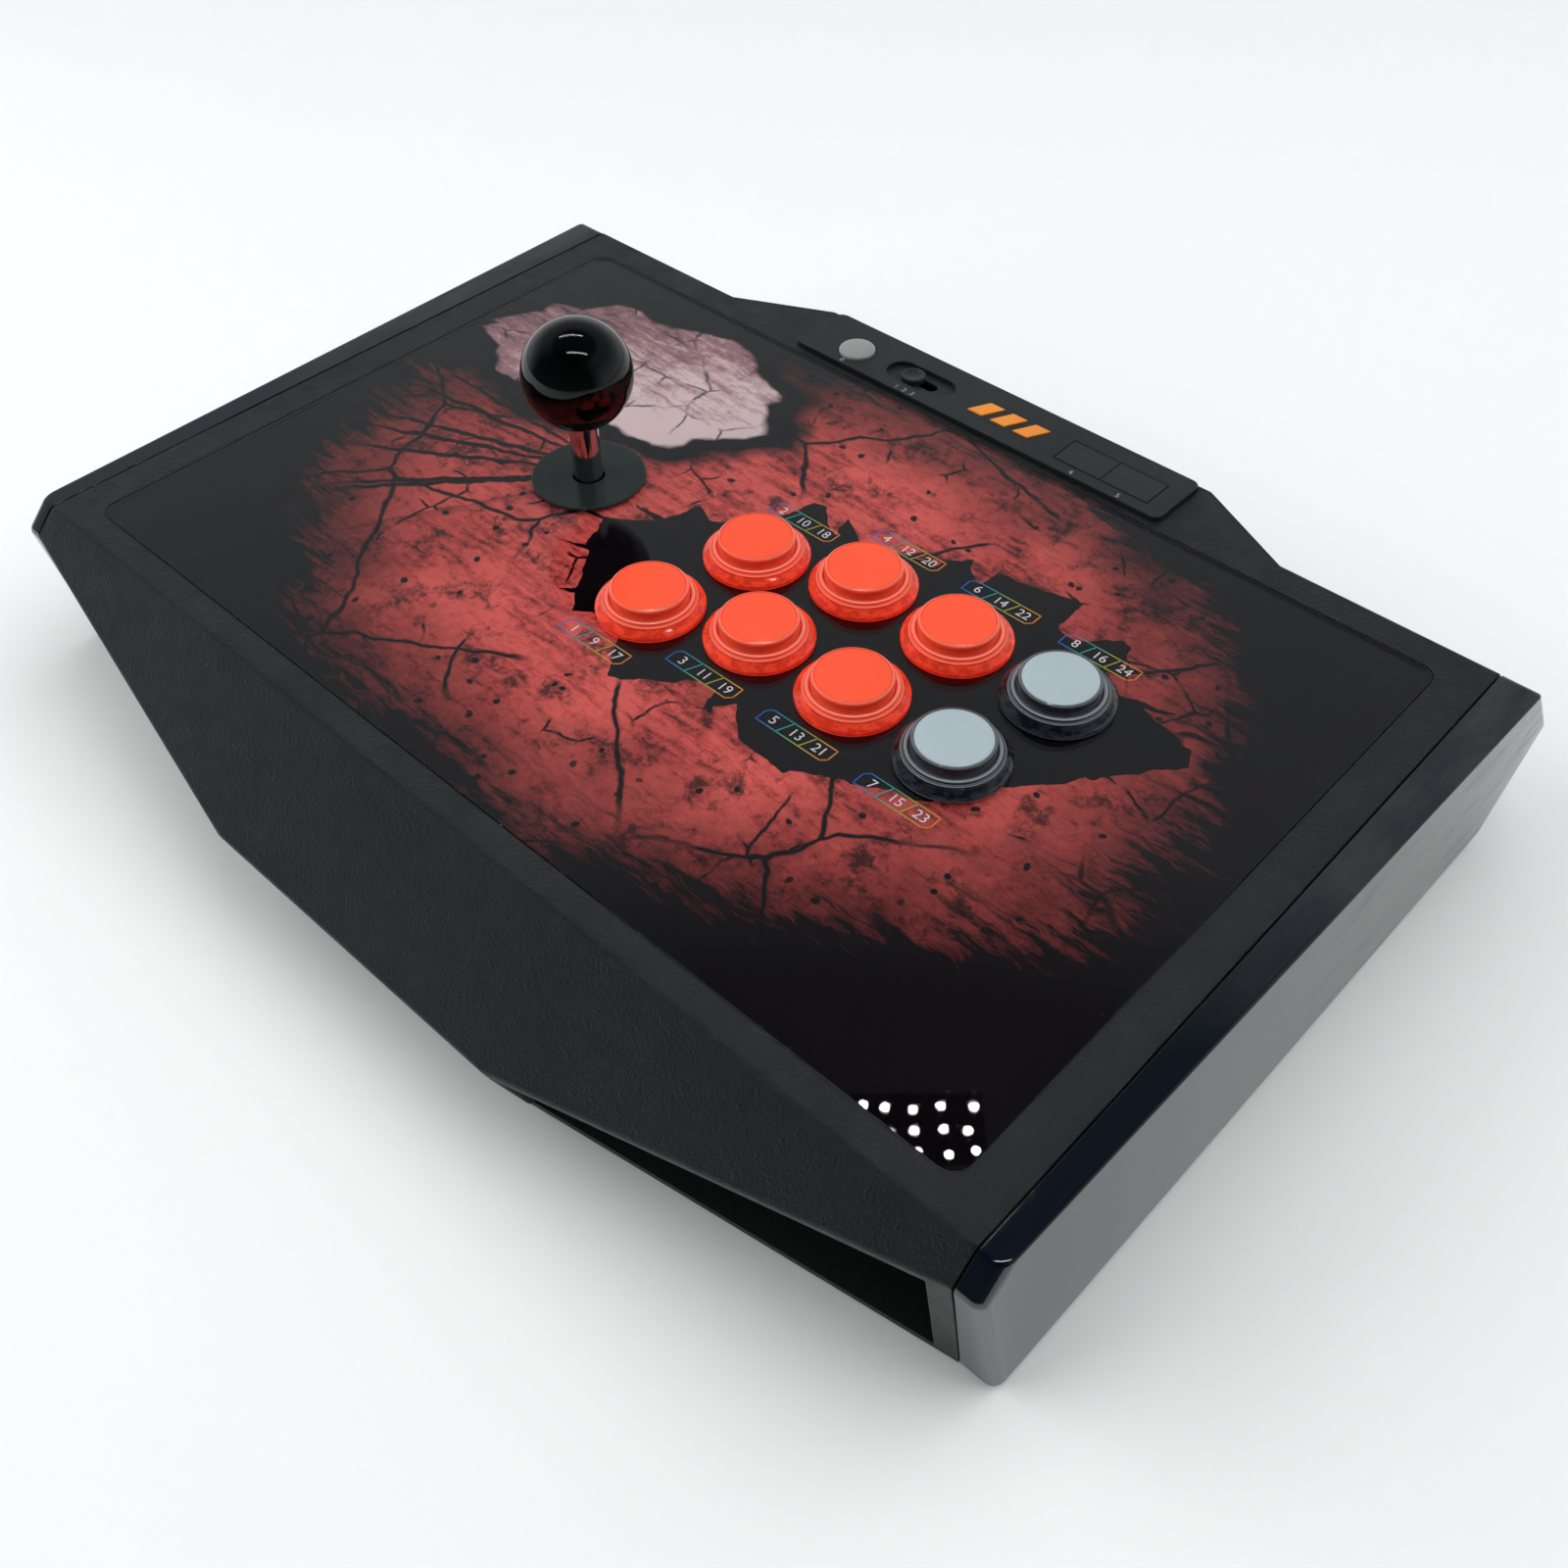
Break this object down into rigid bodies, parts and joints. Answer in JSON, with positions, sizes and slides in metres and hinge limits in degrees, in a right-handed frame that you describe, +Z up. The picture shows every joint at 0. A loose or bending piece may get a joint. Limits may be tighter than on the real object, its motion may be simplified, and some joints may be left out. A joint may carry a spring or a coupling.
{
  "type": "arcade joystick panel",
  "caption": "Low slanted arcade control box with a ball-top tilting lever, round push buttons, a printed top under a clear sheet and a small rear control strip.",
  "frame": {"origin": "middle of the case's footprint, on the surface it stands on", "axes": "+X along the case's width to the player's right, +Y away from the player, +Z up"},
  "size_m": [0.4008, 0.2952, 0.1164],
  "materials": {
    "case_black": "fine leather-like grain, matte",
    "base_black": "matte",
    "cap_gloss": "high gloss",
    "artwork": "printed red and black crackle, matte under the clear sheet",
    "clear_sheet": "clear acrylic, gloss",
    "strip_black": "satin",
    "emblem_orange": "satin orange",
    "key_silver": "frosted translucent silver",
    "key_black": "satin",
    "ember_clear": "translucent orange-red",
    "ember_matte": "matte orange-red",
    "smoke_clear": "translucent smoke grey",
    "slate_matte": "matte blue-grey",
    "ball_black": "high gloss",
    "washer_black": "satin",
    "shaft_chrome": "polished",
    "plated_steel": "zinc plated",
    "housing_ivory": "moulded nylon",
    "gate_clear": "tinted moulded plastic",
    "nylon_dark": "moulded nylon",
    "actuator_red": "moulded nylon",
    "board_green": "solder mask",
    "led_white": "white solder mask",
    "switch_black": "matte",
    "foot_rubber": "matte rubber",
    "jack_black": "satin"
  },
  "bodies": {
    "case": {"top_cover": "case_black", "bottom_cover": "base_black", "left_side_cap": "cap_gloss", "right_side_cap": "cap_gloss", "artwork_sheet": "artwork", "clear_panel": "clear_sheet", "console_strip": "strip_black", "console_emblem": "emblem_orange", "console_board": "board_green", "main_board": "board_green", "audio_jack": "jack_black", "cable_grommet": "foot_rubber", "rubber_feet": "foot_rubber", "bottom_screws": "plated_steel", "internal_screws": "plated_steel", "lever_housing": "housing_ivory", "lever_mount_plate": "plated_steel", "lever_gate": "gate_clear", "lever_switch_board": "board_green", "lever_microswitches": "switch_black", "button_microswitches": "switch_black", "button_led_boards": "led_white", "button_1_housing": "ember_clear", "button_2_housing": "ember_clear", "button_3_housing": "ember_clear", "button_4_housing": "ember_clear", "button_5_housing": "ember_clear", "button_6_housing": "ember_clear", "button_7_housing": "smoke_clear", "button_8_housing": "smoke_clear"},
    "home_key": {"home_button": "key_silver"},
    "turbo_key": {"turbo_button": "key_black"},
    "macro_key": {"macro_button": "key_black"},
    "mode_slider": {"mode_selector": "key_black"},
    "lever_gimbal": {"lever_pivot_race": "nylon_dark"},
    "lever_tilting": {"lever_pivot_ball": "housing_ivory", "lever_spring": "plated_steel", "lever_spring_seat": "nylon_dark", "lever_actuator": "actuator_red"},
    "lever_stick": {"lever_shaft": "shaft_chrome", "ball_top": "ball_black", "lever_e_ring": "plated_steel"},
    "washer_carrier": {"lower_dust_washer": "washer_black"},
    "washer": {"dust_washer": "washer_black"},
    "button_1": {"button_1_plunger": "ember_clear", "button_1_insert": "ember_matte"},
    "button_2": {"button_2_plunger": "ember_clear", "button_2_insert": "ember_matte"},
    "button_3": {"button_3_plunger": "ember_clear", "button_3_insert": "ember_matte"},
    "button_4": {"button_4_plunger": "ember_clear", "button_4_insert": "ember_matte"},
    "button_5": {"button_5_plunger": "ember_clear", "button_5_insert": "ember_matte"},
    "button_6": {"button_6_plunger": "ember_clear", "button_6_insert": "ember_matte"},
    "button_7": {"button_7_plunger": "smoke_clear", "button_7_insert": "slate_matte"},
    "button_8": {"button_8_plunger": "smoke_clear", "button_8_insert": "slate_matte"}
  },
  "joints": [
    {"name": "button_1_press", "type": "slide", "parent": "case", "child": "button_1", "axis": [0, 0, -1], "range_m": [0, 0.0035], "stiffness_N_per_m": 300, "springref_m": -0.002},
    {"name": "button_2_press", "type": "slide", "parent": "case", "child": "button_2", "axis": [0, 0, -1], "range_m": [0, 0.0035], "stiffness_N_per_m": 300, "springref_m": -0.002},
    {"name": "button_3_press", "type": "slide", "parent": "case", "child": "button_3", "axis": [0, 0, -1], "range_m": [0, 0.0035], "stiffness_N_per_m": 300, "springref_m": -0.002},
    {"name": "button_4_press", "type": "slide", "parent": "case", "child": "button_4", "axis": [0, 0, -1], "range_m": [0, 0.0035], "stiffness_N_per_m": 300, "springref_m": -0.002},
    {"name": "button_5_press", "type": "slide", "parent": "case", "child": "button_5", "axis": [0, 0, -1], "range_m": [0, 0.0035], "stiffness_N_per_m": 300, "springref_m": -0.002},
    {"name": "button_6_press", "type": "slide", "parent": "case", "child": "button_6", "axis": [0, 0, -1], "range_m": [0, 0.0035], "stiffness_N_per_m": 300, "springref_m": -0.002},
    {"name": "button_7_press", "type": "slide", "parent": "case", "child": "button_7", "axis": [0, 0, -1], "range_m": [0, 0.0035], "stiffness_N_per_m": 300, "springref_m": -0.002},
    {"name": "button_8_press", "type": "slide", "parent": "case", "child": "button_8", "axis": [0, 0, -1], "range_m": [0, 0.0035], "stiffness_N_per_m": 300, "springref_m": -0.002},
    {"name": "home_press", "type": "slide", "parent": "case", "child": "home_key", "axis": [0, 0, -1], "range_m": [0, 0.001], "stiffness_N_per_m": 400, "springref_m": -0.002},
    {"name": "turbo_press", "type": "slide", "parent": "case", "child": "turbo_key", "axis": [0, 0, -1], "range_m": [0, 0.001], "stiffness_N_per_m": 400, "springref_m": -0.002},
    {"name": "macro_press", "type": "slide", "parent": "case", "child": "macro_key", "axis": [0, 0, -1], "range_m": [0, 0.001], "stiffness_N_per_m": 400, "springref_m": -0.002},
    {"name": "mode_slide", "type": "slide", "parent": "case", "child": "mode_slider", "axis": [1, 0, 0], "range_m": [0, 0.0068]},
    {"name": "lever_tilt_x", "type": "hinge", "parent": "case", "child": "lever_gimbal", "pos_m": [-0.0726, 0.0124, 0.04], "axis": [1, 0, 0], "range_deg": [-8, 8], "stiffness_Nm_per_rad": 1.2},
    {"name": "lever_tilt_y", "type": "hinge", "parent": "lever_gimbal", "child": "lever_tilting", "pos_m": [-0.0726, 0.0124, 0.04], "axis": [0, 1, 0], "range_deg": [-8, 8], "stiffness_Nm_per_rad": 1.2},
    {"name": "lever_spin", "type": "hinge", "parent": "lever_tilting", "child": "lever_stick", "pos_m": [-0.0726, 0.0124, 0.04], "axis": [0, 0, 1], "continuous": true},
    {"name": "washer_slide_x", "type": "slide", "parent": "case", "child": "washer_carrier", "axis": [1, 0, 0], "range_m": [-0.003, 0.003]},
    {"name": "washer_slide_y", "type": "slide", "parent": "washer_carrier", "child": "washer", "axis": [0, 1, 0], "range_m": [-0.003, 0.003]}
  ],
  "couplings": [
    {"joint": "washer_slide_x", "follows": "lever_tilt_y", "m_per_rad": 0.0211},
    {"joint": "washer_slide_y", "follows": "lever_tilt_x", "m_per_rad": -0.0211}
  ]
}
